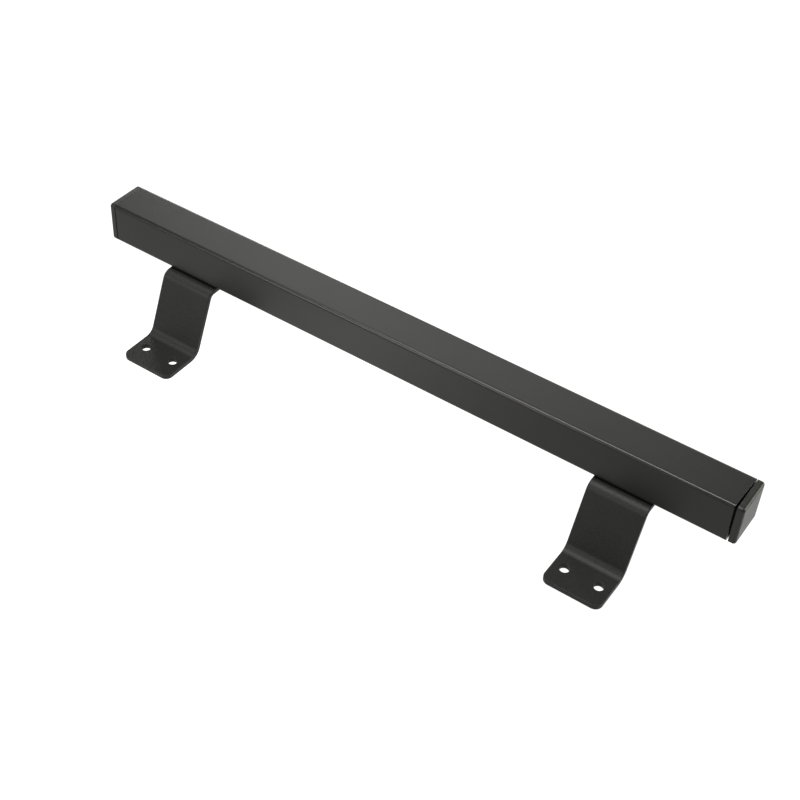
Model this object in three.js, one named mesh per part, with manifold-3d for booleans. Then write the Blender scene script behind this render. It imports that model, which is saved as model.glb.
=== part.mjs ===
// A straight grip rail: a square steel tube with plastic end caps, carried off its mounting surface
// by two Z-bent strip brackets. Each bracket is screwed to the tube from below, into rivet nuts, and
// has two holes in its foot for screws into a bed frame or a wall.
//
// Millimetres, +Z up. The mounting surface is z = 0, X runs along the rail, and the feet point to -Y.
// The origin is on the mounting surface, below the middle of the whole rail's length and depth.

import * as THREE from 'three';
import { mergeVertices } from 'three/addons/utils/BufferGeometryUtils.js';
import Module from 'manifold-3d';

const wasm = await Module();
wasm.setup();

// ---------------------------------------------------------------- driving dimensions

// Square tube
const TUBE_SIDE = 25;
const TUBE_WALL = 1.5;
const TUBE_CORNER = 2;
const TUBE_LENGTH = 396;

// End caps: a solid square head, and a hollow ribbed plug behind it
const CAP_HEAD = 4;
const CAP_EDGE = 1.7;
const CAP_SEAT_LEFT = 0.3;
const CAP_SEAT_RIGHT = 1;
const PLUG_CLEARANCE = 0.3;
const PLUG_CORE_SIDE = 17;
const PLUG_CORE_WALL = 1.6;
const PLUG_LENGTH = 18;
const PLUG_ROOT = 0.5;
const PLUG_RIBS = 4;
const PLUG_RIB_THICKNESS = 1.2;

// Brackets: one strip, two bends
const STRIP_WIDTH = 34;
const STRIP_THICKNESS = 3;
const STRIP_CORNER = 4.5;
const STAND_OFF = 40;
const LEG_SLANT = THREE.MathUtils.degToRad(22.5);
const BEND_OUTER_AT_TUBE = 6;
const BEND_INNER_AT_FOOT = 6;
const BEND_START = 0.5;
const FOOT_REACH = 44.5;
const FLANGE_SETBACK = 1;
const BRACKET_INSET = 40;

// Holes in the brackets
const HOLE_SPACING = 20;
const FOOT_HOLE_DIAMETER = 5.5;
const FOOT_HOLE_SETBACK = 12.8;
const FLANGE_HOLE_DIAMETER = 5.6;

// Fixings between bracket and tube: M5
const SCREW_DIAMETER = 5;
const SCREW_LENGTH = 12;
const SCREW_HEAD_DIAMETER = 9.5;
const SCREW_HEAD_HEIGHT = 2.75;
const SCREW_HEAD_RIM = 0.4;
const SCREW_CROWN_DIAMETER = 5.2;
const SCREW_KEY_ACROSS_FLATS = 3;
const SCREW_KEY_DEPTH = 1.6;
const SCREW_TIP_CHAMFER = 0.5;
const WASHER_DIAMETER = 10;
const WASHER_THICKNESS = 1;
const LOCK_WASHER_DIAMETER = 9.2;
const LOCK_WASHER_THICKNESS = 1.2;
const LOCK_WASHER_SPLIT = 0.6;
const LOCK_WASHER_SPLIT_LEAN = THREE.MathUtils.degToRad(20);
const SCREW_CLEARANCE = 0.3;
const NUT_FLANGE_DIAMETER = 10;
const NUT_FLANGE_THICKNESS = 0.8;
const NUT_BARREL_DIAMETER = 7;
const NUT_BULGE_DIAMETER = 9.4;
const NUT_BULGE_HEIGHT = 2.4;
const NUT_LENGTH = 10;
const NUT_HOLE_CLEARANCE = 0.3;

// How far a cutting solid runs past what it cuts
const CUT_PAST = 1;

// How finely round stretches are cut
const CORNER_STEPS = 4;
const BEND_STEPS = 10;
const ROUND_STEPS = 24;

// ---------------------------------------------------------------- dimensions that follow

const RAIL_LENGTH = CAP_HEAD + CAP_SEAT_LEFT + TUBE_LENGTH + CAP_SEAT_RIGHT + CAP_HEAD;
const RAIL_DEPTH = FOOT_REACH + TUBE_SIDE;
const TUBE_LEFT = -RAIL_LENGTH / 2 + CAP_HEAD + CAP_SEAT_LEFT;
const TUBE_RIGHT = TUBE_LEFT + TUBE_LENGTH;
const FOOT_FRONT = -RAIL_DEPTH / 2;
const TUBE_FRONT = FOOT_FRONT + FOOT_REACH;
const TUBE_MIDDLE_Y = TUBE_FRONT + TUBE_SIDE / 2;
const TUBE_MIDDLE_Z = STAND_OFF + TUBE_SIDE / 2;
const FLANGE_TOP = STAND_OFF - NUT_FLANGE_THICKNESS;
const FLANGE_UNDERSIDE = FLANGE_TOP - STRIP_THICKNESS;
const FLANGE_BACK = TUBE_FRONT + TUBE_SIDE - FLANGE_SETBACK;
const FOOT_HOLE_Y = FOOT_FRONT + FOOT_HOLE_SETBACK;

const HEAD_SEAT = FLANGE_UNDERSIDE - WASHER_THICKNESS - LOCK_WASHER_THICKNESS;
const SCREW_BORE_RADIUS = SCREW_DIAMETER / 2 + SCREW_CLEARANCE;

const BRACKETS = [
  { side: 'left', middle: TUBE_LEFT + BRACKET_INSET + STRIP_WIDTH / 2, inward: 1 },
  { side: 'right', middle: TUBE_RIGHT - BRACKET_INSET - STRIP_WIDTH / 2, inward: -1 },
];

// Each bracket has an outer screw, nearer the rail's end, and an inner one.
const SCREWS = BRACKETS.flatMap(({ side, middle, inward }) => [
  { name: `${side}_outer`, x: middle - (inward * HOLE_SPACING) / 2 },
  { name: `${side}_inner`, x: middle + (inward * HOLE_SPACING) / 2 },
]);

// ---------------------------------------------------------------- materials

function paintedSteel(color, roughness) {
  return new THREE.MeshStandardMaterial({ color, roughness, metalness: 0.1 });
}

const TUBE_COAT = paintedSteel(0x2c2c2b, 0.48);
const BRACKET_COAT = paintedSteel(0x272727, 0.62);
const CAP_PLASTIC = new THREE.MeshStandardMaterial({ color: 0x262626, roughness: 0.42, metalness: 0 });
const BLACK_ZINC = new THREE.MeshStandardMaterial({ color: 0x2a2a2e, roughness: 0.35, metalness: 0.9 });
const BRIGHT_ZINC = new THREE.MeshStandardMaterial({ color: 0xb9bcc0, roughness: 0.32, metalness: 1 });

// ---------------------------------------------------------------- solids

function solidOf(geometry) {
  const bare = new THREE.BufferGeometry();
  bare.setAttribute('position', geometry.getAttribute('position'));
  bare.setIndex(geometry.getIndex());
  const merged = mergeVertices(bare, 1e-4);
  const mesh = new wasm.Mesh({
    numProp: 3,
    vertProperties: new Float32Array(merged.getAttribute('position').array),
    triVerts: new Uint32Array(merged.getIndex().array),
  });
  return new wasm.Manifold(mesh);
}

function geometryOf(solid) {
  const mesh = solid.getMesh();
  const geometry = new THREE.BufferGeometry();
  geometry.setAttribute('position', new THREE.BufferAttribute(mesh.vertProperties, 3));
  geometry.setIndex(new THREE.BufferAttribute(mesh.triVerts, 1));
  geometry.computeVertexNormals();
  return geometry;
}

// A rectangle with round corners, centred on the origin, as a shape or as a path for a hole.
function roundedRectangle(Outline, width, height, corner) {
  const x = width / 2;
  const y = height / 2;
  const outline = new Outline();
  outline.moveTo(x, -y + corner);
  outline.lineTo(x, y - corner);
  outline.absarc(x - corner, y - corner, corner, 0, Math.PI / 2, false);
  outline.lineTo(-x + corner, y);
  outline.absarc(-x + corner, y - corner, corner, Math.PI / 2, Math.PI, false);
  outline.lineTo(-x, -y + corner);
  outline.absarc(-x + corner, -y + corner, corner, Math.PI, 1.5 * Math.PI, false);
  outline.lineTo(x - corner, -y);
  outline.absarc(x - corner, -y + corner, corner, 1.5 * Math.PI, 2 * Math.PI, false);
  return outline;
}

function extrude(shape, depth) {
  return new THREE.ExtrudeGeometry(shape, { depth, curveSegments: CORNER_STEPS, bevelEnabled: false });
}

// Stands a drawing made in X and Y, extruded along Z, so that it runs along the rail:
// the drawing's X becomes Y, its Y becomes Z, and its depth becomes X.
function alongRail(geometry) {
  const turn = new THREE.Matrix4().set(
    0, 0, 1, 0,
    1, 0, 0, 0,
    0, 1, 0, 0,
    0, 0, 0, 1,
  );
  return geometry.applyMatrix4(turn);
}

// A square bar along the rail's X, centred on the tube's axis, from one x to another.
function squareBar(side, corner, from, to) {
  const bar = alongRail(extrude(roundedRectangle(THREE.Shape, side, side, corner), to - from));
  return bar.translate(from, 0, 0);
}

// An upright cylinder, for holes.
function drill(diameter, x, y, bottom, top) {
  const hole = new THREE.CylinderGeometry(diameter / 2, diameter / 2, top - bottom, ROUND_STEPS);
  hole.rotateX(Math.PI / 2);
  return solidOf(hole.translate(x, y, (bottom + top) / 2));
}

// A turned piece: radius and height pairs, closed on themselves or starting and ending on the axis.
function turned(profile) {
  const points = profile.map(([radius, height]) => new THREE.Vector2(radius, height));
  return new THREE.LatheGeometry(points, ROUND_STEPS).rotateX(Math.PI / 2);
}

// Points of an arc in a side view, from one angle to another, measured from straight up.
function arcPoints(centre, radius, from, to) {
  const points = [];
  for (let step = 0; step <= BEND_STEPS; step += 1) {
    const angle = THREE.MathUtils.lerp(from, to, step / BEND_STEPS);
    const reach = new THREE.Vector2(-radius * Math.sin(angle), radius * Math.cos(angle));
    points.push(reach.add(centre));
  }
  return points;
}

// ---------------------------------------------------------------- rail tube

function railTube() {
  const section = roundedRectangle(THREE.Shape, TUBE_SIDE, TUBE_SIDE, TUBE_CORNER);
  const inside = TUBE_SIDE - 2 * TUBE_WALL;
  section.holes.push(roundedRectangle(THREE.Path, inside, inside, TUBE_CORNER - TUBE_WALL));
  const length = alongRail(extrude(section, TUBE_LENGTH));
  let tube = solidOf(length.translate(TUBE_LEFT, TUBE_MIDDLE_Y, TUBE_MIDDLE_Z));
  const nutHole = NUT_BARREL_DIAMETER + 2 * NUT_HOLE_CLEARANCE;
  const wallInside = STAND_OFF + TUBE_WALL;
  for (const { x } of SCREWS) {
    tube = tube.subtract(drill(nutHole, x, TUBE_MIDDLE_Y, STAND_OFF - CUT_PAST, wallInside + CUT_PAST));
  }
  return geometryOf(tube);
}

// ---------------------------------------------------------------- end caps

// The head alone: its back face is at x = 0, and the edge of its outer face is rounded.
function capHead() {
  const side = TUBE_SIDE - 2 * CAP_EDGE;
  const face = roundedRectangle(THREE.Shape, side, side, TUBE_CORNER - CAP_EDGE);
  const geometry = new THREE.ExtrudeGeometry(face, {
    depth: CAP_HEAD - CAP_EDGE,
    curveSegments: CORNER_STEPS,
    bevelThickness: CAP_EDGE,
    bevelSize: CAP_EDGE,
    bevelSegments: CORNER_STEPS,
  });
  const behindTheFace = solidOf(squareBar(TUBE_SIDE + 2 * CUT_PAST, TUBE_CORNER, 0, CAP_HEAD + CUT_PAST));
  return solidOf(alongRail(geometry)).intersect(behindTheFace);
}

// A whole cap that closes a tube's +X end: head, then a square core with thin ribs all round, open at
// its inner end.
function endCap() {
  const ribSide = TUBE_SIDE - 2 * TUBE_WALL - 2 * PLUG_CLEARANCE;
  const ribPitch = PLUG_LENGTH / (PLUG_RIBS + 1);
  let plug = solidOf(squareBar(PLUG_CORE_SIDE, TUBE_CORNER, -PLUG_LENGTH, PLUG_ROOT));
  for (let rib = 1; rib <= PLUG_RIBS; rib += 1) {
    const back = -ribPitch * rib - PLUG_RIB_THICKNESS / 2;
    plug = plug.add(solidOf(squareBar(ribSide, TUBE_CORNER, back, back + PLUG_RIB_THICKNESS)));
  }
  const hollow = PLUG_CORE_SIDE - 2 * PLUG_CORE_WALL;
  const hollowSolid = solidOf(squareBar(hollow, TUBE_CORNER / 2, -PLUG_LENGTH - CUT_PAST, -PLUG_ROOT));
  return geometryOf(capHead().add(plug.subtract(hollowSolid)));
}

function endCapRight() {
  return endCap().translate(TUBE_RIGHT + CAP_SEAT_RIGHT, TUBE_MIDDLE_Y, TUBE_MIDDLE_Z);
}

function endCapLeft() {
  return endCap().rotateZ(Math.PI).translate(TUBE_LEFT - CAP_SEAT_LEFT, TUBE_MIDDLE_Y, TUBE_MIDDLE_Z);
}

// ---------------------------------------------------------------- brackets

// The strip seen from the side, in Y and Z: flange, bend, slanting leg, bend, foot.
function stripOutline() {
  const turn = Math.PI / 2 - LEG_SLANT;
  const bendRadii = BEND_OUTER_AT_TUBE + BEND_INNER_AT_FOOT;
  const bendDrop = bendRadii * (1 - Math.cos(turn));
  const legDrop = FLANGE_TOP - STRIP_THICKNESS - bendDrop;
  const legLength = legDrop / Math.cos(LEG_SLANT);
  const upper = new THREE.Vector2(TUBE_FRONT - BEND_START, FLANGE_TOP - BEND_OUTER_AT_TUBE);
  const lower = new THREE.Vector2(
    upper.x - bendRadii * Math.sin(turn) - legLength * Math.sin(LEG_SLANT),
    STRIP_THICKNESS + BEND_INNER_AT_FOOT,
  );
  const turnBack = Math.PI + turn;
  return [
    new THREE.Vector2(FLANGE_BACK, FLANGE_TOP),
    ...arcPoints(upper, BEND_OUTER_AT_TUBE, 0, turn),
    ...arcPoints(lower, BEND_INNER_AT_FOOT, turnBack, Math.PI),
    new THREE.Vector2(FOOT_FRONT, STRIP_THICKNESS),
    new THREE.Vector2(FOOT_FRONT, 0),
    ...arcPoints(lower, BEND_INNER_AT_FOOT + STRIP_THICKNESS, Math.PI, turnBack),
    ...arcPoints(upper, BEND_OUTER_AT_TUBE - STRIP_THICKNESS, turn, 0),
    new THREE.Vector2(FLANGE_BACK, FLANGE_UNDERSIDE),
  ];
}

function bracket(middle) {
  const strip = alongRail(extrude(new THREE.Shape(stripOutline()), STRIP_WIDTH));
  let solid = solidOf(strip.translate(middle - STRIP_WIDTH / 2, 0, 0));
  const reach = FLANGE_BACK - FOOT_FRONT;
  const plan = extrude(roundedRectangle(THREE.Shape, STRIP_WIDTH, reach, STRIP_CORNER), STAND_OFF);
  solid = solid.intersect(solidOf(plan.translate(middle, FOOT_FRONT + reach / 2, 0)));
  const bottom = FLANGE_UNDERSIDE - CUT_PAST;
  const top = FLANGE_TOP + CUT_PAST;
  for (const x of [middle - HOLE_SPACING / 2, middle + HOLE_SPACING / 2]) {
    solid = solid.subtract(drill(FOOT_HOLE_DIAMETER, x, FOOT_HOLE_Y, -CUT_PAST, STRIP_THICKNESS + CUT_PAST));
    solid = solid.subtract(drill(FLANGE_HOLE_DIAMETER, x, TUBE_MIDDLE_Y, bottom, top));
  }
  return geometryOf(solid);
}

// ---------------------------------------------------------------- fixings
// Each is drawn at its own height, with the screw's axis on Z.

// A button-head screw that points up, with a hexagon socket in its domed head.
function railScrew() {
  const head = SCREW_HEAD_DIAMETER / 2;
  const crown = SCREW_CROWN_DIAMETER / 2;
  const shank = SCREW_DIAMETER / 2;
  const profile = [[0, -SCREW_HEAD_HEIGHT]];
  for (let step = 0; step <= CORNER_STEPS; step += 1) {
    const angle = (step / CORNER_STEPS) * (Math.PI / 2);
    const rise = (SCREW_HEAD_HEIGHT - SCREW_HEAD_RIM) * (1 - Math.cos(angle));
    profile.push([crown + (head - crown) * Math.sin(angle), rise - SCREW_HEAD_HEIGHT]);
  }
  profile.push([head, 0], [shank, 0]);
  profile.push([shank, SCREW_LENGTH - SCREW_TIP_CHAMFER]);
  profile.push([shank - SCREW_TIP_CHAMFER, SCREW_LENGTH], [0, SCREW_LENGTH]);
  const acrossCorners = SCREW_KEY_ACROSS_FLATS / Math.cos(Math.PI / 6);
  const key = new THREE.CylinderGeometry(acrossCorners / 2, acrossCorners / 2, 2 * SCREW_KEY_DEPTH, 6);
  const socket = solidOf(key.rotateX(Math.PI / 2).translate(0, 0, -SCREW_HEAD_HEIGHT));
  return geometryOf(solidOf(turned(profile)).subtract(socket)).translate(0, 0, HEAD_SEAT);
}

function ring(diameter, bottom, thickness) {
  const outer = diameter / 2;
  const top = bottom + thickness;
  return turned([
    [SCREW_BORE_RADIUS, bottom],
    [outer, bottom],
    [outer, top],
    [SCREW_BORE_RADIUS, top],
    [SCREW_BORE_RADIUS, bottom],
  ]);
}

function plainWasher() {
  return ring(WASHER_DIAMETER, FLANGE_UNDERSIDE - WASHER_THICKNESS, WASHER_THICKNESS);
}

// A split spring ring, pressed flat as it is when the screw is tight.
function lockWasher() {
  const whole = ring(LOCK_WASHER_DIAMETER, HEAD_SEAT, LOCK_WASHER_THICKNESS);
  const split = new THREE.BoxGeometry(LOCK_WASHER_DIAMETER, LOCK_WASHER_SPLIT, 4 * LOCK_WASHER_THICKNESS);
  split.rotateX(LOCK_WASHER_SPLIT_LEAN);
  split.translate(LOCK_WASHER_DIAMETER / 2, 0, HEAD_SEAT + LOCK_WASHER_THICKNESS / 2);
  return geometryOf(solidOf(whole).subtract(solidOf(split)));
}

// A set rivet nut: its flange is outside the tube, its bulge grips the wall from inside.
function rivetNut() {
  const bore = SCREW_BORE_RADIUS;
  const flange = NUT_FLANGE_DIAMETER / 2;
  const barrel = NUT_BARREL_DIAMETER / 2;
  const bulge = NUT_BULGE_DIAMETER / 2;
  const wallInside = STAND_OFF + TUBE_WALL + NUT_HOLE_CLEARANCE;
  const top = FLANGE_TOP + NUT_LENGTH;
  return turned([
    [bore, FLANGE_TOP],
    [flange, FLANGE_TOP],
    [flange, STAND_OFF],
    [barrel, STAND_OFF],
    [barrel, wallInside],
    [bulge, wallInside],
    [bulge, wallInside + NUT_BULGE_HEIGHT / 2],
    [barrel, wallInside + NUT_BULGE_HEIGHT],
    [barrel, top],
    [bore, top],
    [bore, FLANGE_TOP],
  ]);
}

// ---------------------------------------------------------------- assembly

const rail = new THREE.Group();

function addPiece(name, geometry, material) {
  const piece = new THREE.Mesh(geometry, material);
  piece.name = name;
  rail.add(piece);
  return piece;
}

addPiece('rail_tube', railTube(), TUBE_COAT);
addPiece('end_cap_left', endCapLeft(), CAP_PLASTIC);
addPiece('end_cap_right', endCapRight(), CAP_PLASTIC);
for (const { side, middle } of BRACKETS) {
  addPiece(`bracket_${side}`, bracket(middle), BRACKET_COAT);
}

const FIXINGS = {
  rail_screw: [railScrew(), BLACK_ZINC],
  lock_washer: [lockWasher(), BLACK_ZINC],
  plain_washer: [plainWasher(), BLACK_ZINC],
  rivet_nut: [rivetNut(), BRIGHT_ZINC],
};
for (const { name, x } of SCREWS) {
  for (const [kind, [geometry, material]] of Object.entries(FIXINGS)) {
    addPiece(`${kind}_${name}`, geometry, material).position.set(x, TUBE_MIDDLE_Y, 0);
  }
}

export default rail;
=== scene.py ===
# A straight grip rail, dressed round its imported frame: a square steel tube with moulded end caps on
# two Z-bent strip brackets, screwed together from below.
#
# Sizes are in metres and the axes are the frame's own: X runs along the rail, the feet point to -Y,
# and the mounting surface is z = 0.

import math

import bmesh
import bpy
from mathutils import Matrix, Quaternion, Vector


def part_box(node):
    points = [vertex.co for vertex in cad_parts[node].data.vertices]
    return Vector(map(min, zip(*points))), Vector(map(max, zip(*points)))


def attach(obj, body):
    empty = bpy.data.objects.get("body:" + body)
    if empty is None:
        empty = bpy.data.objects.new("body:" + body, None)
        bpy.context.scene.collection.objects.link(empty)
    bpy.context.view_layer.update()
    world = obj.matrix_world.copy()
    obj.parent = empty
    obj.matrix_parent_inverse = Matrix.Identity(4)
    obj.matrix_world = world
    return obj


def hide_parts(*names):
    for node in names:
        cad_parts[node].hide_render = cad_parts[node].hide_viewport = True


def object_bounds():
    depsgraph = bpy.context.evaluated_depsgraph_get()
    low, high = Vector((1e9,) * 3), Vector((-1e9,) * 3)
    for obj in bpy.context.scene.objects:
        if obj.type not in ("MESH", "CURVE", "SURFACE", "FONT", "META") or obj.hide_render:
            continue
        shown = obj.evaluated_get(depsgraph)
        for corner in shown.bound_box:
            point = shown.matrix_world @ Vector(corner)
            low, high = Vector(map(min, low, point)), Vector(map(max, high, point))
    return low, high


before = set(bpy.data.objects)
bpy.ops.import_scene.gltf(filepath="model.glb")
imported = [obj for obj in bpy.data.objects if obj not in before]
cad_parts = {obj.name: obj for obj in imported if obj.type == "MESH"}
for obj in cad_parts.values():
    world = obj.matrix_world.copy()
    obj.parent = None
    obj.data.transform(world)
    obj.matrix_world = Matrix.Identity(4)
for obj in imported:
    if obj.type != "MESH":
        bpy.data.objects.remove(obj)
cad_low, cad_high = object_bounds()

MM = 0.001
BODY = "root"

# ---------------------------------------------------------------- sizes read from the frame

TUBE_LOW, TUBE_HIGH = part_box("rail_tube")
TUBE_SIDE = TUBE_HIGH.z - TUBE_LOW.z
TUBE_MIDDLE_Y = (TUBE_LOW.y + TUBE_HIGH.y) / 2
TUBE_MIDDLE_Z = (TUBE_LOW.z + TUBE_HIGH.z) / 2
SIDES = ("left", "right")
SCREWS = [f"{side}_{place}" for side in SIDES for place in ("outer", "inner")]

# ---------------------------------------------------------------- sizes of the design

TUBE_WALL = 1.5 * MM
TUBE_CORNER = 2 * MM
TUBE_INNER_CORNER = 0.5 * MM
# How round the tube's cut edges and the caps' back edges are. The left end is a closer fit.
JOINT_EDGE = {"left": 0.06 * MM, "right": 0.1 * MM}
# The tube is cut a little out of square. For each end: its gap to the cap's head in the middle, how
# much wider the gap is at the front and at the top, and what a saw burr leaves of it. The burr runs
# along the whole top of the left end, and stands at the top back corner of the right one.
END_GAP = {
    "left": (0.4 * MM, 0.3 * MM, 0, 0.04 * MM),
    "right": (0.9 * MM, 0.27 * MM, 0.15 * MM, 0.15 * MM),
}
# The higher this power, the closer to the edge the burr starts
BURR_SHARPNESS = 8
NUT_HOLE = 7.6 * MM

CAP_EDGE = 1.7 * MM
CAP_HEAD = 4 * MM
# How far each cap's head stands off the tube's end
CAP_SEAT = {
    "left": TUBE_LOW.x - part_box("end_cap_left")[0].x - CAP_HEAD,
    "right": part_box("end_cap_right")[1].x - TUBE_HIGH.x - CAP_HEAD,
}
PLUG_CORE_SIDE = 17 * MM
PLUG_CORE_WALL = 1.6 * MM
PLUG_RIB_SIDE = 21.4 * MM
PLUG_RIBS = 4
PLUG_RIB_ROOT = 1.2 * MM
PLUG_RIB_TIP = 0.7 * MM
PLUG_CORNER = 2 * MM
PLUG_EDGE = 0.2 * MM

STRIP_THICKNESS = 3 * MM
STRIP_CORNER = 4.5 * MM
STRIP_EDGE = 0.45 * MM
LEG_SLANT = math.radians(22.5)
BEND_OUTER_AT_TUBE = 6 * MM
BEND_INNER_AT_FOOT = 6 * MM
BEND_START = 0.5 * MM
FOOT_HOLE = 5.5 * MM
FOOT_HOLE_SETBACK = 12.8 * MM
FLANGE_HOLE = 5.6 * MM
HOLE_EDGE = 0.35 * MM
HOLE_UNDER_EDGE = 0.06 * MM

SCREW_BORE = 5.6 * MM
SCREW_DIAMETER = 5 * MM
SCREW_HEAD_HEIGHT = 2.75 * MM
SCREW_HEAD_RIM = 0.4 * MM
SCREW_CROWN = 5.2 * MM
SCREW_KEY = 3 * MM
SCREW_KEY_DEPTH = 1.6 * MM
# The drilled bottom of the hexagon socket, as a share of the key's width, and its cone's slope
SOCKET_DRILL_SHARE = 0.9
SOCKET_DRILL_SLOPE = math.radians(30)
SCREW_PITCH = 0.8 * MM
SCREW_THREAD_DEPTH = 0.45 * MM
# The thread's flanks and root, as the slope and the offset of its trapezoid wave
THREAD_FLANK_SLOPE = 1.6
THREAD_ROOT_SHARE = 0.3
SCREW_PLAIN_NECK = 1.2 * MM
SCREW_TIP = 0.5 * MM
LOCK_SPLIT = 0.6 * MM
LOCK_SPLIT_LEAN = math.radians(20)
NUT_FLANGE = 0.8 * MM
NUT_BARREL = 7 * MM
NUT_BULGE_HEIGHT = 2.4 * MM
# The bulge's radius as a share of the flange's, and how low its widest place sits (1 is halfway up)
NUT_BULGE_SHARE = 0.94
NUT_BULGE_SKEW = 0.7
NUT_BULGE_GAP = 0.3 * MM
SMALL_EDGE = 0.12 * MM

# How finely round stretches are cut
CORNER_STEPS = 14
EDGE_STEPS = 5
BEND_STEPS = 20
HOLE_STEPS = 56
ROUND_STEPS = 48
THREAD_STEPS = 8

# Edges that turn by more than this are shaded as sharp
TUBE_SHARP = math.radians(50)
CAP_SHARP = math.radians(35)
SCREW_SHARP = math.radians(30)
RING_SHARP = math.radians(40)

# ---------------------------------------------------------------- mesh tools


def new_piece(name, bm):
    """A smooth object from a closed bmesh, its faces pointing out."""
    bmesh.ops.recalc_face_normals(bm, faces=bm.faces)
    mesh = bpy.data.meshes.new(name)
    bm.to_mesh(mesh)
    bm.free()
    mesh.shade_smooth()
    piece = bpy.data.objects.new(name, mesh)
    bpy.context.scene.collection.objects.link(piece)
    return piece


def skin(bm, near, far):
    """Quads between two rings with as many points."""
    for i, point in enumerate(near):
        j = (i + 1) % len(near)
        bm.faces.new((point, near[j], far[j], far[i]))


def loft(name, rings, closed):
    """A skin over rings of points: closed on itself, or with its two end rings filled."""
    bm = bmesh.new()
    rows = [[bm.verts.new(point) for point in ring] for ring in rings]
    for near, far in zip(rows, rows[1:]):
        skin(bm, near, far)
    if closed:
        skin(bm, rows[-1], rows[0])
    else:
        bm.faces.new(rows[0])
        bm.faces.new(rows[-1])
    return new_piece(name, bm)


def quarter(radius, steps=EDGE_STEPS):
    """A quarter round, as (sine, cosine) shares of its radius, from 0 to 90 degrees."""
    angles = [math.pi / 2 * step / steps for step in range(steps + 1)]
    return [(radius * math.sin(angle), radius * math.cos(angle)) for angle in angles]


def square_ring(x, side, corner):
    """A square with round corners, centred on the tube's axis, at one x."""
    middle = side / 2 - corner
    ring = []
    for turn, (across, up) in enumerate([(1, 1), (-1, 1), (-1, -1), (1, -1)]):
        for step in range(CORNER_STEPS + 1):
            angle = math.pi / 2 * (turn + step / CORNER_STEPS)
            y = TUBE_MIDDLE_Y + across * middle + corner * math.cos(angle)
            z = TUBE_MIDDLE_Z + up * middle + corner * math.sin(angle)
            ring.append((x, y, z))
    return ring


def round_ring(centre, z, radius, steps=ROUND_STEPS):
    """A ring round an upright axis. The radius may be a number or a function of the angle."""
    ring = []
    for step in range(steps):
        angle = 2 * math.pi * step / steps
        reach = radius(angle) if callable(radius) else radius
        ring.append((centre.x + reach * math.cos(angle), centre.y + reach * math.sin(angle), z))
    return ring


def drill(piece, holes):
    """Cuts round upright holes, each (x, y, diameter, bottom, top), out of a piece."""
    cutters = []
    for x, y, diameter, bottom, top in holes:
        centre = Vector((x, y))
        rings = [round_ring(centre, z, diameter / 2, HOLE_STEPS) for z in (bottom, top)]
        cutter = loft("cutter", rings, closed=False)
        cut = piece.modifiers.new("hole", "BOOLEAN")
        cut.object = cutter
        cut.operation = "DIFFERENCE"
        cut.solver = "EXACT"
        cutters.append(cutter)
    evaluated = piece.evaluated_get(bpy.context.evaluated_depsgraph_get())
    mesh = bpy.data.meshes.new_from_object(evaluated)
    piece.modifiers.clear()
    piece.data = mesh
    mesh.shade_smooth()
    for cutter in cutters:
        bpy.data.objects.remove(cutter)


def middle_of(node):
    low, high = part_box(node)
    return (low + high) / 2


def dress(piece, node, material, sharp=None):
    """Puts a finished piece in its CAD node's place, with its material."""
    piece.data.materials.append(material)
    if sharp is not None:
        piece.data.set_sharp_from_angle(angle=sharp)
    normals = piece.modifiers.new("weighted normals", "WEIGHTED_NORMAL")
    normals.mode = "FACE_AREA_WITH_ANGLE"
    normals.keep_sharp = sharp is not None
    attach(piece, BODY)
    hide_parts(node)
    return piece


# ---------------------------------------------------------------- materials

SPECK_CORE = 0.6
ZINC_CLOUDING = 0.06


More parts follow.
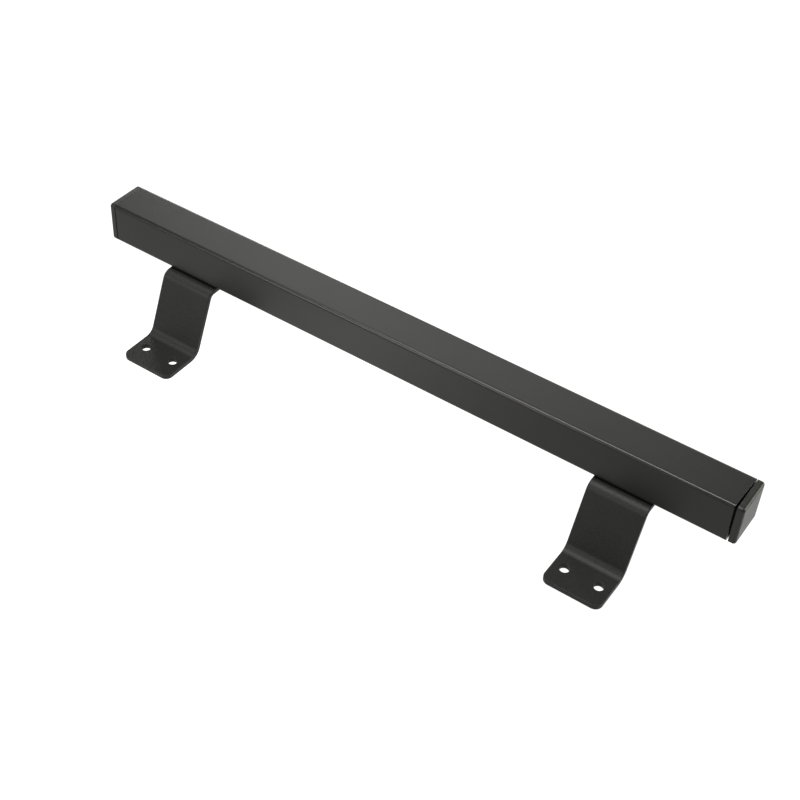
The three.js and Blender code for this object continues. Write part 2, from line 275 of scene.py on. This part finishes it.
class Shader:
    """A Principled material, and the short cuts that its nodes are made with."""

    def __init__(self, name, roughness, metallic=0.0, ior=1.5, specular=0.5, tint=(1, 1, 1)):
        self.material = bpy.data.materials.new(name)
        self.material.use_nodes = True
        self.tree = self.material.node_tree
        self.surface = self.tree.nodes["Principled BSDF"]
        self.set("Roughness", roughness)
        self.set("Metallic", metallic)
        self.set("IOR", ior)
        self.set("Specular IOR Level", specular)
        self.set("Specular Tint", (*tint, 1))
        coordinates = self.tree.nodes.new("ShaderNodeTexCoord")
        self.place = coordinates.outputs["Object"]

    def set(self, socket, value):
        self.surface.inputs[socket].default_value = value

    def link(self, output, node, socket):
        self.tree.links.new(output, node.inputs[socket])

    def noise(self, size, detail=2.0, roughness=0.5):
        """Soft noise whose lumps are about that size, in metres."""
        node = self.tree.nodes.new("ShaderNodeTexNoise")
        node.inputs["Scale"].default_value = 1 / size
        node.inputs["Detail"].default_value = detail
        node.inputs["Roughness"].default_value = roughness
        self.link(self.place, node, "Vector")
        return node.outputs["Fac"]

    def ramp(self, value, low, high, to_low, to_high):
        """The value, taken from one range to another and kept inside it."""
        node = self.tree.nodes.new("ShaderNodeMapRange")
        node.inputs["From Min"].default_value = low
        node.inputs["From Max"].default_value = high
        node.inputs["To Min"].default_value = to_low
        node.inputs["To Max"].default_value = to_high
        self.link(value, node, "Value")
        return node.outputs["Result"]

    def blend(self, share, first, second):
        """A colour between two, each a colour or another blend."""
        node = self.tree.nodes.new("ShaderNodeMix")
        node.data_type = "RGBA"
        self.link(share, node, "Factor")
        for socket, colour in ((6, first), (7, second)):
            if isinstance(colour, bpy.types.NodeSocket):
                self.tree.links.new(colour, node.inputs[socket])
            else:
                node.inputs[socket].default_value = (*colour, 1)
        return node.outputs[2]

    def bump(self, layers):
        """Relief from (height, depth in metres) layers, one on another."""
        normal = None
        for height, depth in layers:
            node = self.tree.nodes.new("ShaderNodeBump")
            node.inputs["Distance"].default_value = depth
            self.link(height, node, "Height")
            if normal is not None:
                self.link(normal, node, "Normal")
            normal = node.outputs["Normal"]
        self.link(normal, self.surface, "Normal")

    def specks(self, spacing, radius, share_of_cells):
        """1 on sparse round specks and 0 elsewhere, with a soft rim round each speck's core."""
        cells = self.tree.nodes.new("ShaderNodeTexVoronoi")
        cells.inputs["Scale"].default_value = 1 / spacing
        self.link(self.place, cells, "Vector")
        rim = radius / spacing
        near = self.ramp(cells.outputs["Distance"], SPECK_CORE * rim, rim, 1, 0)
        pick = self.tree.nodes.new("ShaderNodeSeparateColor")
        self.link(cells.outputs["Color"], pick, "Color")
        chosen = self.tree.nodes.new("ShaderNodeMath")
        chosen.operation = "LESS_THAN"
        chosen.inputs[1].default_value = share_of_cells
        self.link(pick.outputs[0], chosen, 0)
        both = self.tree.nodes.new("ShaderNodeMath")
        both.operation = "MULTIPLY"
        self.link(near, both, 0)
        self.link(chosen.outputs[0], both, 1)
        return both.outputs[0]


def tube_coat():
    """Satin black powder coat: a fine orange peel, soft mottling and a few dust specks."""
    shader = Shader("tube_coat", 0.3, ior=1.4, specular=0.261, tint=(1, 1, 0.955))
    mottle = shader.noise(22 * MM, detail=3.0)
    peel = shader.noise(1.7 * MM, detail=2.0)
    grain = shader.noise(0.32 * MM, detail=2.0, roughness=0.6)
    cloudy = shader.ramp(mottle, 0.35, 0.65, 0, 1)
    base = shader.blend(cloudy, (0.0063, 0.0063, 0.0059), (0.0074, 0.0073, 0.0068))
    base = shader.blend(shader.ramp(grain, 0.3, 0.7, 0, 0.5), base, (0.0092, 0.0091, 0.0085))
    dust = shader.specks(8 * MM, 0.2 * MM, 0.3)
    base = shader.blend(dust, base, (0.06, 0.059, 0.055))
    shader.link(base, shader.surface, "Base Color")
    shader.link(shader.ramp(peel, 0.3, 0.7, 0.29, 0.32), shader.surface, "Roughness")
    shader.bump([(peel, 0.006 * MM), (grain, 0.002 * MM)])
    return shader.material


def bracket_coat():
    """Matt black powder coat with a fine sandy grain."""
    shader = Shader("bracket_coat", 0.5, ior=1.4, specular=0.216, tint=(1, 1, 0.975))
    mottle = shader.noise(15 * MM, detail=3.0)
    grit = shader.noise(1.05 * MM, detail=3.0, roughness=0.65)
    grain = shader.noise(0.28 * MM, detail=2.0, roughness=0.6)
    cloudy = shader.ramp(mottle, 0.35, 0.65, 0, 1)
    base = shader.blend(cloudy, (0.0058, 0.0058, 0.0055), (0.0068, 0.0067, 0.0063))
    base = shader.blend(shader.ramp(grit, 0.35, 0.7, 0, 0.6), base, (0.0117, 0.0115, 0.0110))
    shader.link(base, shader.surface, "Base Color")
    shader.link(shader.ramp(grit, 0.3, 0.7, 0.46, 0.54), shader.surface, "Roughness")
    shader.bump([(grit, 0.11 * MM), (grain, 0.02 * MM)])
    return shader.material


def cap_plastic():
    """Moulded black plastic with a fine eroded texture."""
    shader = Shader("cap_plastic", 0.4, ior=1.4, specular=0.28, tint=(0.98, 1, 0.92))
    cloud = shader.noise(6 * MM, detail=2.0)
    texture = shader.noise(0.4 * MM, detail=2.0, roughness=0.6)
    cloudy = shader.ramp(cloud, 0.35, 0.65, 0, 1)
    base = shader.blend(cloudy, (0.0080, 0.0081, 0.0075), (0.0096, 0.0097, 0.0090))
    shader.link(base, shader.surface, "Base Color")
    shader.link(shader.ramp(cloud, 0.3, 0.7, 0.38, 0.42), shader.surface, "Roughness")
    shader.bump([(texture, 0.006 * MM)])
    return shader.material


def zinc(name, light, dark, roughness):
    """Zinc plate: a metal with cloudy colour and fine scratches from tumbling."""
    shader = Shader(name, roughness, metallic=1.0)
    cloud = shader.noise(1.6 * MM, detail=4.0, roughness=0.6)
    scratch = shader.noise(0.15 * MM, detail=3.0, roughness=0.7)
    base = shader.blend(shader.ramp(cloud, 0.3, 0.7, 0, 1), dark, light)
    shader.link(base, shader.surface, "Base Color")
    smooth, rough = roughness - ZINC_CLOUDING, roughness + ZINC_CLOUDING
    shader.link(shader.ramp(cloud, 0.3, 0.7, smooth, rough), shader.surface, "Roughness")
    shader.bump([(scratch, 0.004 * MM)])
    return shader.material


TUBE_COAT = tube_coat()
BRACKET_COAT = bracket_coat()
CAP_PLASTIC = cap_plastic()
BLACK_ZINC = zinc("black_zinc", (0.060, 0.060, 0.066), (0.035, 0.035, 0.040), 0.36)
BRIGHT_ZINC = zinc("bright_zinc", (0.62, 0.63, 0.65), (0.48, 0.49, 0.52), 0.30)

# ---------------------------------------------------------------- rail tube


def end_section(edge):
    """The tube's wall at its end, as (inset, distance back): outer edge, end face, inner edge."""
    outer = [(edge - cos, edge - sin) for sin, cos in quarter(edge)]
    return outer + [(TUBE_WALL - inset, back) for inset, back in reversed(outer)]


def skewed(ring, side):
    """A ring across the tube, moved along it as the end on that side was cut."""
    outward = 1 if side == "right" else -1
    half = TUBE_SIDE / 2
    middle_gap, at_front, at_top, burr_gap = END_GAP[side]
    moved = []
    for x, y, z in ring:
        back = (y - TUBE_MIDDLE_Y) / half
        top = (z - TUBE_MIDDLE_Z) / half
        burr = max(0, min(top, back) if side == "right" else top) ** BURR_SHARPNESS
        gap = max(middle_gap - at_front * back + at_top * top, burr_gap)
        gap += (burr_gap - gap) * burr
        moved.append((x + outward * (CAP_SEAT[side] - gap), y, z))
    return moved


def rail_tube():
    """The tube as one closed skin: outside, round cut edge, end face, and back along its inside."""
    right = end_section(JOINT_EDGE["right"])
    left = end_section(JOINT_EDGE["left"])
    stations = [("right", inset, TUBE_HIGH.x - back) for inset, back in right]
    stations += [("left", inset, TUBE_LOW.x + back) for inset, back in reversed(left)]
    rings = []
    for side, inset, x in stations:
        corner = max(TUBE_CORNER - inset, TUBE_INNER_CORNER)
        rings.append(skewed(square_ring(x, TUBE_SIDE - 2 * inset, corner), side))
    tube = loft("rail_tube_shell", rings, closed=True)
    bottom = TUBE_LOW.z - TUBE_WALL
    top = TUBE_LOW.z + 2 * TUBE_WALL
    holes = []
    for screw in SCREWS:
        middle = middle_of(f"rail_screw_{screw}")
        holes.append((middle.x, middle.y, NUT_HOLE, bottom, top))
    drill(tube, holes)
    return dress(tube, "rail_tube", TUBE_COAT, TUBE_SHARP)


# ---------------------------------------------------------------- end caps


def cap_outline(plug_length, back_edge):
    """A cap's skin as (outward from the head's back face, side, corner radius), from the middle of
    its outer face round to the floor of its hollow."""
    rows = []
    for sin, cos in quarter(CAP_EDGE, 2 * EDGE_STEPS):
        inset = CAP_EDGE - sin
        rows.append((CAP_HEAD - CAP_EDGE + cos, TUBE_SIDE - 2 * inset, TUBE_CORNER - inset))
    for sin, cos in quarter(back_edge):
        inset = back_edge - cos
        rows.append((back_edge - sin, TUBE_SIDE - 2 * inset, TUBE_CORNER - inset))
    rows.append((0, PLUG_CORE_SIDE + 2 * PLUG_EDGE, PLUG_CORNER))
    rows.append((-PLUG_EDGE, PLUG_CORE_SIDE, PLUG_CORNER))
    root = PLUG_RIB_ROOT / 2
    tip = PLUG_RIB_TIP / 2
    rib_section = [
        (root, PLUG_CORE_SIDE),
        (tip, PLUG_RIB_SIDE - PLUG_EDGE),
        (tip - PLUG_EDGE / 2, PLUG_RIB_SIDE),
        (PLUG_EDGE / 2 - tip, PLUG_RIB_SIDE),
        (-tip, PLUG_RIB_SIDE - PLUG_EDGE),
        (-root, PLUG_CORE_SIDE),
    ]
    pitch = plug_length / (PLUG_RIBS + 1)
    for rib in range(1, PLUG_RIBS + 1):
        rows += [(outward - pitch * rib, side, PLUG_CORNER) for outward, side in rib_section]
    hollow = PLUG_CORE_SIDE - 2 * PLUG_CORE_WALL
    rows.append((-plug_length + PLUG_EDGE, PLUG_CORE_SIDE, PLUG_CORNER))
    rows.append((-plug_length, PLUG_CORE_SIDE - 2 * PLUG_EDGE, PLUG_CORNER - PLUG_EDGE))
    rows.append((-plug_length, hollow + 2 * PLUG_EDGE, PLUG_CORNER / 2 + PLUG_EDGE))
    rows.append((-plug_length + PLUG_EDGE, hollow, PLUG_CORNER / 2))
    rows.append((-2 * PLUG_EDGE, hollow, PLUG_CORNER / 2))
    return rows


def end_cap(side):
    node = f"end_cap_{side}"
    low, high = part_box(node)
    outward = 1 if side == "right" else -1
    outer_face = high.x if side == "right" else low.x
    back_face = outer_face - outward * CAP_HEAD
    plug_length = high.x - low.x - CAP_HEAD
    outline = cap_outline(plug_length, JOINT_EDGE[side])
    rings = [square_ring(back_face + outward * x, width, corner) for x, width, corner in outline]
    cap = loft(f"end_cap_{side}_moulding", rings, closed=False)
    return dress(cap, node, CAP_PLASTIC, CAP_SHARP)


# ---------------------------------------------------------------- brackets


class BentStrip:
    """The middle line of a bent strip seen from the side, from the flange's back edge to the foot's
    front edge, as stretches of (length, turn)."""

    def __init__(self, low, high):
        self.start = (high.y, high.z - STRIP_THICKNESS / 2)
        turn = math.pi / 2 - LEG_SLANT
        middle_at_tube = BEND_OUTER_AT_TUBE - STRIP_THICKNESS / 2
        middle_at_foot = BEND_INNER_AT_FOOT + STRIP_THICKNESS / 2
        radii = middle_at_tube + middle_at_foot
        flange = high.y - TUBE_LOW.y + BEND_START
        leg_drop = high.z - STRIP_THICKNESS - radii * (1 - math.cos(turn))
        leg = leg_drop / math.cos(LEG_SLANT)
        reach = flange + radii * math.sin(turn) + leg * math.sin(LEG_SLANT)
        foot = high.y - low.y - reach
        self.stretches = [
            (flange, 0),
            (middle_at_tube * turn, turn),
            (leg, 0),
            (middle_at_foot * turn, -turn),
            (foot, 0),
        ]
        self.length = sum(length for length, turn in self.stretches)

    def bend_places(self):
        """How far along the strip the steps of both bends lie."""
        places = []
        along = 0
        for length, turn in self.stretches:
            if turn:
                places += [along + length * step / BEND_STEPS for step in range(BEND_STEPS + 1)]
            along += length
        return places

    def at(self, along, height):
        """The y and z of a point of the flat blank, given its height above the blank's middle."""
        y, z = self.start
        tilt = 0
        for length, turn in self.stretches:
            step = min(along, length)
            after = tilt + turn * step / length
            if turn:
                radius = length / turn
                y -= radius * (math.sin(after) - math.sin(tilt))
                z += radius * (math.cos(after) - math.cos(tilt))
            else:
                y -= step * math.cos(tilt)
                z -= step * math.sin(tilt)
            tilt = after
            along -= step
            if along <= 0:
                break
        return y - height * math.sin(tilt), z + height * math.cos(tilt)


def edge_profile(upper_edge, lower_edge):
    """A plate's edge from its top to its underside, as (inset, height above the middle)."""
    half = STRIP_THICKNESS / 2
    upper = [(upper_edge - sin, half - upper_edge + cos) for sin, cos in quarter(upper_edge)]
    lower = [(lower_edge - sin, lower_edge - half - cos) for sin, cos in quarter(lower_edge)]
    return upper + lower[::-1]


def blank_outline(half_width, length, places):
    """The flat blank's outline as (across, along, outward across, outward along): its +X side, its
    front end, its -X side and its back end."""
    def corner(across, along, first):
        points = []
        for step in range(CORNER_STEPS + 1):
            angle = first + math.pi / 2 * step / CORNER_STEPS
            out = (math.cos(angle), math.sin(angle))
            points.append((across + STRIP_CORNER * out[0], along + STRIP_CORNER * out[1], *out))
        return points

    middle = half_width - STRIP_CORNER
    outline = [(half_width, along, 1, 0) for along in places]
    outline += corner(middle, length - STRIP_CORNER, 0)
    outline += corner(-middle, length - STRIP_CORNER, math.pi / 2)
    outline += [(-half_width, along, -1, 0) for along in reversed(places)]
    outline += corner(-middle, STRIP_CORNER, math.pi)
    outline += corner(middle, STRIP_CORNER, 1.5 * math.pi)
    return outline


def edges_along(bm, verts, closed):
    pairs = list(zip(verts, verts[1:]))
    if closed:
        pairs.append((verts[-1], verts[0]))
    return [bm.edges.get(pair) or bm.edges.new(pair) for pair in pairs]


def bracket(side):
    """One strip: made flat with its holes and round edges, then bent along its middle line."""
    node = f"bracket_{side}"
    low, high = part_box(node)
    strip = BentStrip(low, high)
    centre_x = (low.x + high.x) / 2
    places = strip.bend_places()
    outline = blank_outline((high.x - low.x) / 2, strip.length, places)
    bm = bmesh.new()

    levels = []
    for inset, height in edge_profile(STRIP_EDGE, STRIP_EDGE):
        level = []
        for across, along, out_across, out_along in outline:
            point = (across - inset * out_across, along - inset * out_along, height)
            level.append(bm.verts.new(point))
        levels.append(level)
    for upper, lower in zip(levels, levels[1:]):
        skin(bm, upper, lower)

    hole_rings = {"flange": [], "foot": []}
    for screw in SCREWS:
        if not screw.startswith(side):
            continue
        across = middle_of(f"rail_screw_{screw}").x - centre_x
        holes = [
            ("flange", Vector((across, high.y - TUBE_MIDDLE_Y)), FLANGE_HOLE),
            ("foot", Vector((across, strip.length - FOOT_HOLE_SETBACK)), FOOT_HOLE),
        ]
        for zone, centre, diameter in holes:
            rings = []
            for inset, height in edge_profile(HOLE_EDGE, HOLE_UNDER_EDGE):
                ring = round_ring(centre, height, diameter / 2 + inset, HOLE_STEPS)
                rings.append([bm.verts.new(point) for point in ring])
            for upper, lower in zip(rings, rings[1:]):
                skin(bm, upper, lower)
            hole_rings[zone].append(rings)

    count = len(places)
    left_start = count + 2 * (CORNER_STEPS + 1)
    for face, level in ((0, levels[0]), (-1, levels[-1])):
        right = level[:count]
        left = level[left_start:left_start + count][::-1]
        for i in range(count - 1):
            bm.faces.new((right[i], right[i + 1], left[i + 1], left[i]))
        foot_end = level[count - 1:left_start + 1]
        flange_end = level[left_start + count - 1:] + [level[0]]
        for zone, end in (("foot", foot_end), ("flange", flange_end)):
            edges = edges_along(bm, end, closed=True)
            for rings in hole_rings[zone]:
                edges += edges_along(bm, rings[face], closed=True)
            bmesh.ops.triangle_fill(bm, edges=edges, use_beauty=True, normal=(0, 0, 1))

    for vert in bm.verts:
        across, along, height = vert.co
        vert.co = (centre_x + across, *strip.at(along, height))
    piece = new_piece(f"bracket_{side}_strip", bm)
    return dress(piece, node, BRACKET_COAT)


# ---------------------------------------------------------------- fixings


def hexagon(across_flats):
    """A hexagon's radius at each angle."""
    sector = math.pi / 3
    return lambda angle: across_flats / 2 / math.cos(angle % sector - sector / 2)


def thread_radius(z, from_z, to_z):
    """A screw thread's radius at each angle, at one height, running out at both ends."""
    strength = min(1, max(0, (z - from_z) / SCREW_PITCH), max(0, (to_z - z) / SCREW_PITCH))

    def radius(angle):
        phase = (z / SCREW_PITCH - angle / (2 * math.pi)) % 1
        crest = min(1, max(0, THREAD_FLANK_SLOPE * abs(2 * phase - 1) - THREAD_ROOT_SHARE))
        return SCREW_DIAMETER / 2 - SCREW_THREAD_DEPTH * strength * (1 - crest)

    return radius


def rail_screw(screw):
    """A button-head screw that points up, with a hexagon socket and a real thread."""
    node = f"rail_screw_{screw}"
    low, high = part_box(node)
    centre = middle_of(node)
    head = (high.x - low.x) / 2
    seat = low.z + SCREW_HEAD_HEIGHT
    crown = SCREW_CROWN / 2
    shank = SCREW_DIAMETER / 2
    mouth = SCREW_KEY / 2 / math.cos(math.pi / 6) + SMALL_EDGE
    floor = low.z + SCREW_KEY_DEPTH
    drill_point = SCREW_KEY / 2 * math.tan(SOCKET_DRILL_SLOPE)
    rows = [
        (floor + drill_point / 2, SMALL_EDGE),
        (floor, SOCKET_DRILL_SHARE * SCREW_KEY / 2),
        (floor, hexagon(SCREW_KEY)),
        (low.z + 2 * SMALL_EDGE, hexagon(SCREW_KEY)),
        (low.z, mouth),
        (low.z, crown),
    ]
    dome = SCREW_HEAD_HEIGHT - SCREW_HEAD_RIM
    for sin, cos in quarter(1, 2 * EDGE_STEPS)[1:]:
        rows.append((low.z + dome * (1 - cos), crown + (head - crown) * sin))
    rows += [
        (seat - SMALL_EDGE, head),
        (seat, head - SMALL_EDGE),
        (seat, shank + SMALL_EDGE),
        (seat + SMALL_EDGE, shank),
    ]
    thread_from = seat + SCREW_PLAIN_NECK
    thread_to = high.z
    threaded = thread_to - SCREW_TIP - thread_from
    steps = round(threaded / SCREW_PITCH * THREAD_STEPS)
    for step in range(steps + 1):
        z = thread_from + threaded * step / steps
        rows.append((z, thread_radius(z, thread_from, thread_to)))
    rows.append((high.z, shank - SCREW_TIP))
    rings = [round_ring(centre, z, radius) for z, radius in rows]
    piece = loft(f"rail_screw_{screw}_body", rings, closed=False)
    return dress(piece, node, BLACK_ZINC, SCREW_SHARP)


def ring_profile(inner, outer, bottom, top, edge):
    """A flat ring's section as (z, radius), closed on itself, with its edges broken."""
    return [
        (bottom, inner + edge),
        (bottom, outer - edge),
        (bottom + edge, outer),
        (top - edge, outer),
        (top, outer - edge),
        (top, inner + edge),
        (top - edge, inner),
        (bottom + edge, inner),
    ]


def plain_washer(screw):
    node = f"plain_washer_{screw}"
    low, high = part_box(node)
    outer = (high.x - low.x) / 2
    profile = ring_profile(SCREW_BORE / 2, outer, low.z, high.z, SMALL_EDGE)
    rings = [round_ring(middle_of(node), z, radius) for z, radius in profile]
    piece = loft(f"plain_washer_{screw}_ring", rings, closed=True)
    return dress(piece, node, BLACK_ZINC, RING_SHARP)


def lock_washer(screw):
    """A split spring ring, pressed flat. Its split leans, so each step round it leans as well."""
    node = f"lock_washer_{screw}"
    low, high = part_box(node)
    outer = (high.y - low.y) / 2
    centre = middle_of(f"rail_screw_{screw}")
    middle_z = (low.z + high.z) / 2
    profile = ring_profile(SCREW_BORE / 2, outer, low.z, high.z, SMALL_EDGE)
    half_split = LOCK_SPLIT / 2 / math.cos(LOCK_SPLIT_LEAN)
    rings = []
    for step in range(ROUND_STEPS + 1):
        ring = []
        for z, radius in profile:
            lean = (middle_z - z) * math.tan(LOCK_SPLIT_LEAN)
            first = math.asin((lean + half_split) / radius)
            last = 2 * math.pi + math.asin((lean - half_split) / radius)
            angle = first + (last - first) * step / ROUND_STEPS
            x = centre.x + radius * math.cos(angle)
            y = centre.y + radius * math.sin(angle)
            ring.append((x, y, z))
        rings.append(ring)
    piece = loft(f"lock_washer_{screw}_coil", rings, closed=False)
    return dress(piece, node, BLACK_ZINC, RING_SHARP)


def rivet_nut(screw):
    """A set rivet nut: flange below the tube's wall, bulge above it, threaded barrel on top."""
    node = f"rivet_nut_{screw}"
    low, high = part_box(node)
    bore = SCREW_BORE / 2
    flange = (high.x - low.x) / 2
    barrel = NUT_BARREL / 2
    bulge = NUT_BULGE_SHARE * flange - barrel
    bulge_from = low.z + NUT_FLANGE + TUBE_WALL + NUT_BULGE_GAP
    profile = [
        (low.z + SMALL_EDGE, bore),
        (low.z, bore + SMALL_EDGE),
        (low.z, flange - SMALL_EDGE),
        (low.z + SMALL_EDGE, flange),
        (low.z + NUT_FLANGE - SMALL_EDGE, flange),
        (low.z + NUT_FLANGE, flange - SMALL_EDGE),
        (low.z + NUT_FLANGE, barrel),
    ]
    for step in range(2 * EDGE_STEPS + 1):
        share = step / (2 * EDGE_STEPS)
        swell = math.sin(math.pi * share ** NUT_BULGE_SKEW)
        profile.append((bulge_from + NUT_BULGE_HEIGHT * share, barrel + bulge * swell))
    profile += [
        (high.z - 2 * SMALL_EDGE, barrel),
        (high.z, barrel - 2 * SMALL_EDGE),
        (high.z, bore + SMALL_EDGE),
        (high.z - SMALL_EDGE, bore),
    ]
    rings = [round_ring(middle_of(node), z, radius) for z, radius in profile]
    piece = loft(f"rivet_nut_{screw}_body", rings, closed=True)
    return dress(piece, node, BRIGHT_ZINC, RING_SHARP)


rail_tube()
for side in SIDES:
    end_cap(side)
    bracket(side)
for screw in SCREWS:
    rail_screw(screw)
    lock_washer(screw)
    plain_washer(screw)
    rivet_nut(screw)

# ---------------------------------------------------------------- camera

# The lens and the camera's place come from a scratch fit of a pinhole camera to the photo's edges
# and corners, with the tube taken as 25 mm square.
LENS = 65.61
SENSOR = 36
CLIP_START = 0.01
CAMERA_AZIMUTH = math.radians(31.86)
CAMERA_ELEVATION = math.radians(42.73)
CAMERA_ROLL = math.radians(3.80)
CAMERA_DISTANCE = 787.93 * MM
# What the camera looks at, from the middle of the whole rail
CAMERA_AIM = Vector((8.827, 4.655, -0.764)) * MM


def direction(azimuth, elevation):
    """Where something stands, seen from the rail: azimuth 0 is in front of it, at -Y."""
    flat = math.cos(elevation)
    return Vector((math.sin(azimuth) * flat, -math.cos(azimuth) * flat, math.sin(elevation)))


def add_camera():
    aim = (cad_low + cad_high) / 2 + CAMERA_AIM
    back = direction(CAMERA_AZIMUTH, CAMERA_ELEVATION)
    data = bpy.data.cameras.new("camera")
    data.lens = LENS
    data.sensor_width = SENSOR
    data.clip_start = CLIP_START
    camera = bpy.data.objects.new("camera", data)
    camera.location = aim + back * CAMERA_DISTANCE
    camera.rotation_mode = "QUATERNION"
    roll = Quaternion((0, 0, 1), CAMERA_ROLL)
    camera.rotation_quaternion = (-back).to_track_quat("-Z", "Y") @ roll
    bpy.context.scene.collection.objects.link(camera)
    bpy.context.scene.camera = camera


# ---------------------------------------------------------------- studio

LIGHT_DISTANCE = 1.6
# Name, azimuth and elevation in degrees, side in metres, power in watts, share of blue missing.
# These numbers weren't chosen by eye: a least-squares fit of trial renders to the photo's
# tones gave them, and they were rounded. Then low_front and right were changed. The brightness
# of the painted pool of light and SKY below come from the same fits, and so do the factors in
# the coats' colours and specular levels.
SOFTBOXES = [
    ("overhead", -30, 84, 0.45, 22.2, 0),
    ("low_front", -27, 27, 0.55, 19.5, 0),
    ("high_left", -69, 69, 0.34, 15.3, 0),
    ("high_far_left", -108, 74, 0.34, 1.9, 0),
    ("back_low", 222, 12, 0.5, 7.4, 0),
    ("back_low_right", 186, 12, 0.5, 3.9, 0),
    ("back_left", 222, 40, 0.5, 1.9, 0),
    ("back_middle", 210, 40, 0.5, 1.4, 0),
    ("back_right", 198, 40, 0.5, 1.3, 0),
    ("back_far_right", 186, 40, 0.5, 0.7, 0),
    ("right", 120, 16, 0.9, 31.5, 0.14),
]


def softbox(name, azimuth, elevation, size, power, yellowness):
    """A soft square light that faces the middle of the rail."""
    data = bpy.data.lights.new(name, "AREA")
    data.shape = "SQUARE"
    data.size = size
    data.energy = power
    data.color = (1, 1, 1 - yellowness)
    light = bpy.data.objects.new(name, data)
    towards = direction(math.radians(azimuth), math.radians(elevation))
    light.location = (cad_low + cad_high) / 2 + towards * LIGHT_DISTANCE
    light.rotation_mode = "QUATERNION"
    light.rotation_quaternion = (-towards).to_track_quat("-Z", "Y")
    bpy.context.scene.collection.objects.link(light)


FLOOR_SIZE = 80
FLOOR_DROP = 0.3 * MM
FLOOR_SHADE = 0.08
FLOOR_GLOW = 1.0
SKY = 0.1
# A painted pool of light: the floor is brighter in a round patch in front of the rail's middle, in
# place of lamplight falling there
PAINTED_POOL_CENTRE = (-0.06, -0.07, 0)
PAINTED_POOL_RADIUS = 0.18
PAINTED_POOL_GLOW = 1.557


def add_floor():
    """A pale light table, with a painted pool of light in front of the rail's middle. From below it
    can be seen through.
    """
    bm = bmesh.new()
    bmesh.ops.create_grid(bm, x_segments=1, y_segments=1, size=FLOOR_SIZE / 2)
    mesh = bpy.data.meshes.new("floor")
    bm.to_mesh(mesh)
    bm.free()
    floor = bpy.data.objects.new("floor", mesh)
    floor.location.z = -FLOOR_DROP
    bpy.context.scene.collection.objects.link(floor)
    material = bpy.data.materials.new("floor")
    material.use_nodes = True
    tree = material.node_tree
    surface = tree.nodes["Principled BSDF"]
    surface.inputs["Base Color"].default_value = (FLOOR_SHADE, FLOOR_SHADE, FLOOR_SHADE, 1)
    surface.inputs["Roughness"].default_value = 1.0
    surface.inputs["Specular IOR Level"].default_value = 0.0
    surface.inputs["Emission Color"].default_value = (1, 1, 1, 1)
    place = tree.nodes.new("ShaderNodeTexCoord")
    # Painted pool of light: the table's emission rises towards the middle of a round patch
    pool = tree.nodes.new("ShaderNodeMapping")
    pool.inputs["Location"].default_value = [-value / PAINTED_POOL_RADIUS for value in PAINTED_POOL_CENTRE]
    pool.inputs["Scale"].default_value = [1 / PAINTED_POOL_RADIUS] * 3
    painted_pool_falloff = tree.nodes.new("ShaderNodeTexGradient")
    painted_pool_falloff.gradient_type = "QUADRATIC_SPHERE"
    table_glow_with_painted_pool = tree.nodes.new("ShaderNodeMapRange")
    table_glow_with_painted_pool.inputs["To Min"].default_value = FLOOR_GLOW
    table_glow_with_painted_pool.inputs["To Max"].default_value = FLOOR_GLOW + PAINTED_POOL_GLOW
    tree.links.new(place.outputs["Object"], pool.inputs["Vector"])
    tree.links.new(pool.outputs["Vector"], painted_pool_falloff.inputs["Vector"])
    tree.links.new(painted_pool_falloff.outputs["Fac"], table_glow_with_painted_pool.inputs["Value"])
    tree.links.new(table_glow_with_painted_pool.outputs["Result"], surface.inputs["Emission Strength"])
    clear = tree.nodes.new("ShaderNodeBsdfTransparent")
    geometry = tree.nodes.new("ShaderNodeNewGeometry")
    mix = tree.nodes.new("ShaderNodeMixShader")
    tree.links.new(geometry.outputs["Backfacing"], mix.inputs["Fac"])
    tree.links.new(surface.outputs["BSDF"], mix.inputs[1])
    tree.links.new(clear.outputs["BSDF"], mix.inputs[2])
    tree.links.new(mix.outputs["Shader"], tree.nodes["Material Output"].inputs["Surface"])
    mesh.materials.append(material)


def add_sky():
    """A dim even room round the table. It shows as a grey band where a low view ends the table."""
    world = bpy.data.worlds.new("room")
    world.use_nodes = True
    world.node_tree.nodes["Background"].inputs["Color"].default_value = (1, 1, 1, 1)
    world.node_tree.nodes["Background"].inputs["Strength"].default_value = SKY
    bpy.context.scene.world = world


add_camera()
add_floor()
add_sky()
for box in SOFTBOXES:
    softbox(*box)
bpy.context.scene.view_settings.view_transform = "Standard"

bpy.context.view_layer.update()
